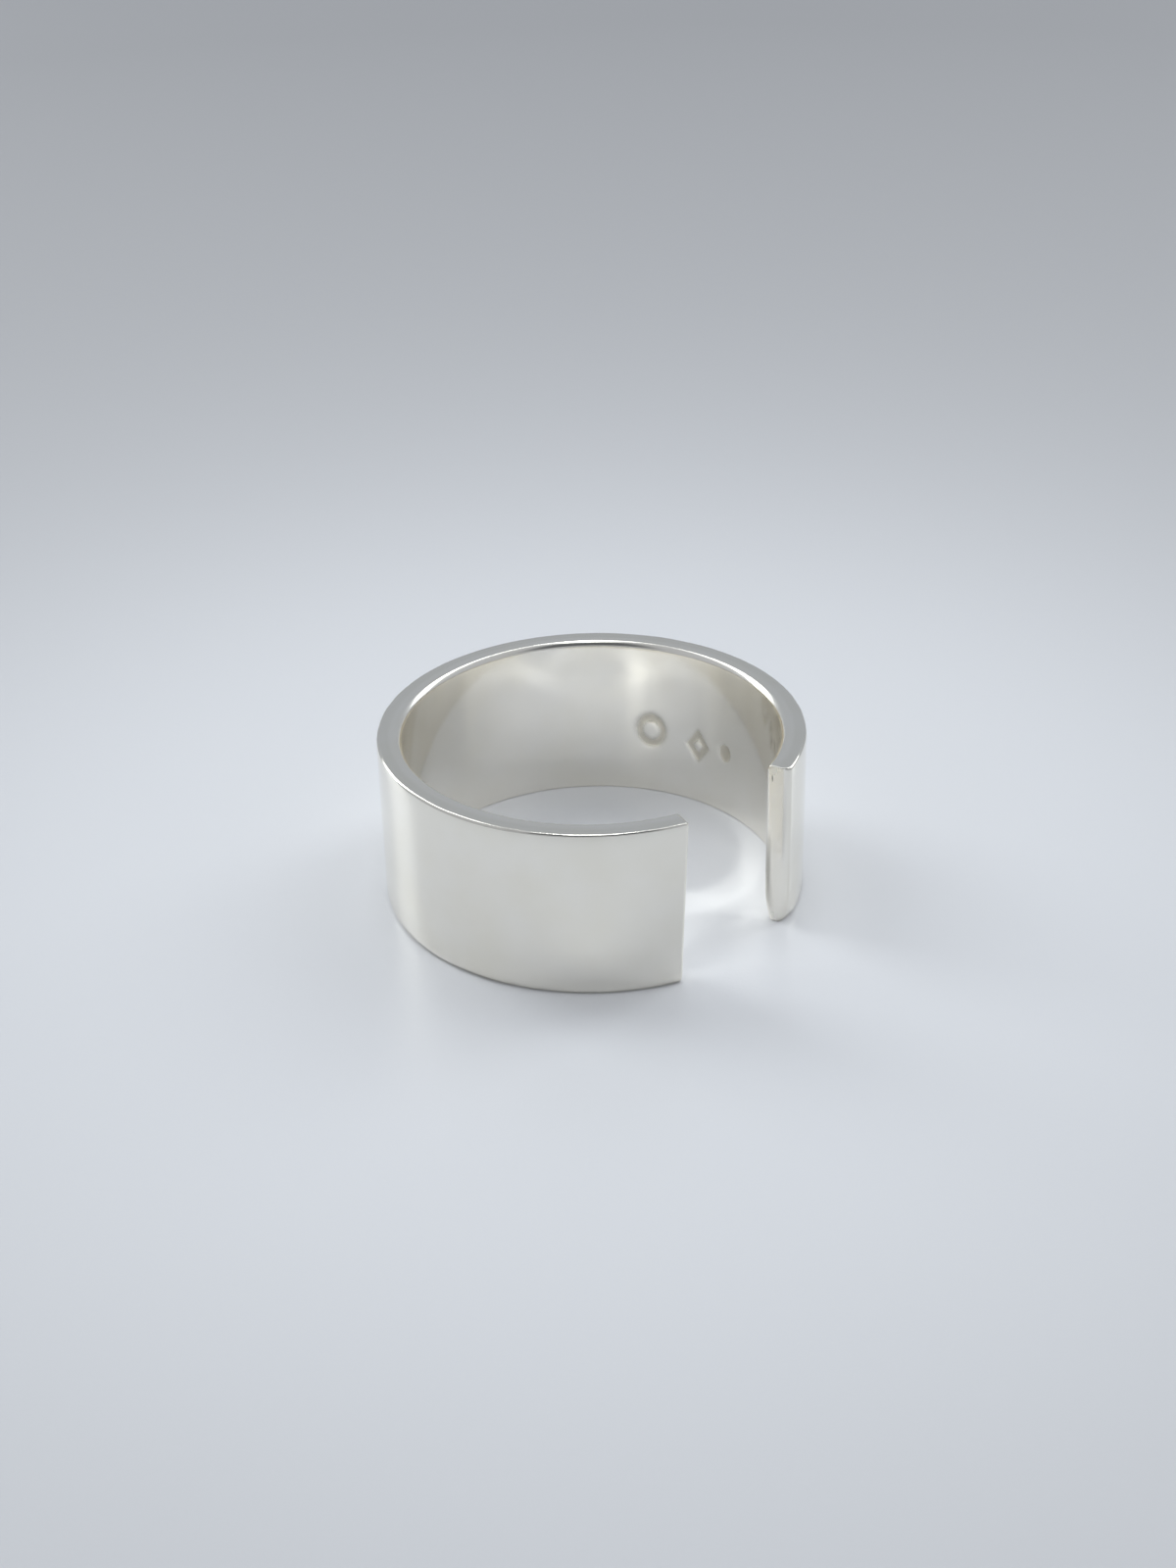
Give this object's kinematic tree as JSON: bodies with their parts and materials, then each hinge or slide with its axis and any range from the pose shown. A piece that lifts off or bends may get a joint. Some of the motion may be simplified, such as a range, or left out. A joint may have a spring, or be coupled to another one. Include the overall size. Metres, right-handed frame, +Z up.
{
  "type": "wide open band ring",
  "caption": "Wide, flat open band ring of polished silver, bent round from a strip with softened edges, with a gap between its ends.",
  "frame": {"origin": "on the ring's axis, in the plane that the lower rim rests on", "axes": "+Z up along the ring's axis; -Y towards the picture's camera; the gap lies 43 degrees from -Y towards +X"},
  "size_m": [0.0206, 0.0206, 0.0085],
  "materials": {
    "silver": "sterling silver, polished outside and on the rims, a softer polish inside"
  },
  "bodies": {
    "root": {"ring_band": "silver"}
  },
  "joints": []
}
